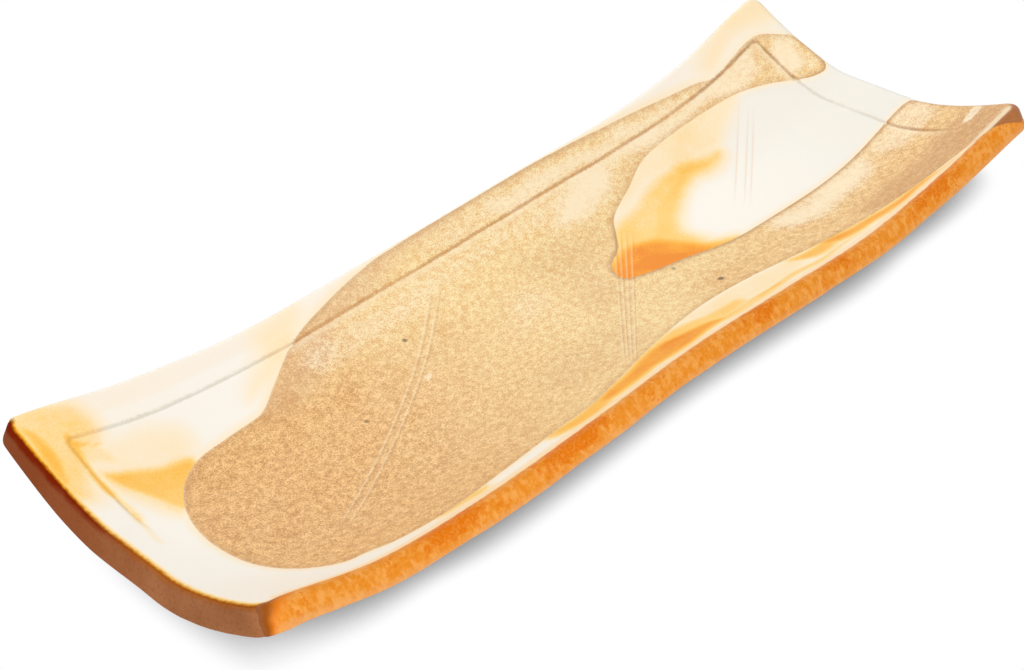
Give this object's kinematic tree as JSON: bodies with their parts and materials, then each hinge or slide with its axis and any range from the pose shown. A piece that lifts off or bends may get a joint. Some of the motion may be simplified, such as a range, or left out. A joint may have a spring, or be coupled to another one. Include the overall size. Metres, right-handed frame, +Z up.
{
  "type": "long plate",
  "caption": "Long rectangular stoneware serving plate, dished with lifted corners, glazed on its upper face and long edges, standing on a flat bare base.",
  "frame": {"origin": "centre of the flat base that the plate stands on", "axes": "+X along the plate towards its right end, -Y towards its front long edge, +Z up out of the dish"},
  "size_m": [0.3692, 0.1393, 0.0412],
  "materials": {
    "clay": "bare fired stoneware, matte brown",
    "white_glaze": "glossy cream-white glaze, orange where thin",
    "tan_glaze": "satin tan speckled glaze",
    "amber_glaze": "glossy mottled amber glaze"
  },
  "bodies": {
    "root": {"clay_slab": "clay", "white_glaze": "white_glaze", "tan_glaze_pour": "tan_glaze", "front_edge_glaze": "amber_glaze", "back_edge_glaze": "amber_glaze"}
  },
  "joints": []
}
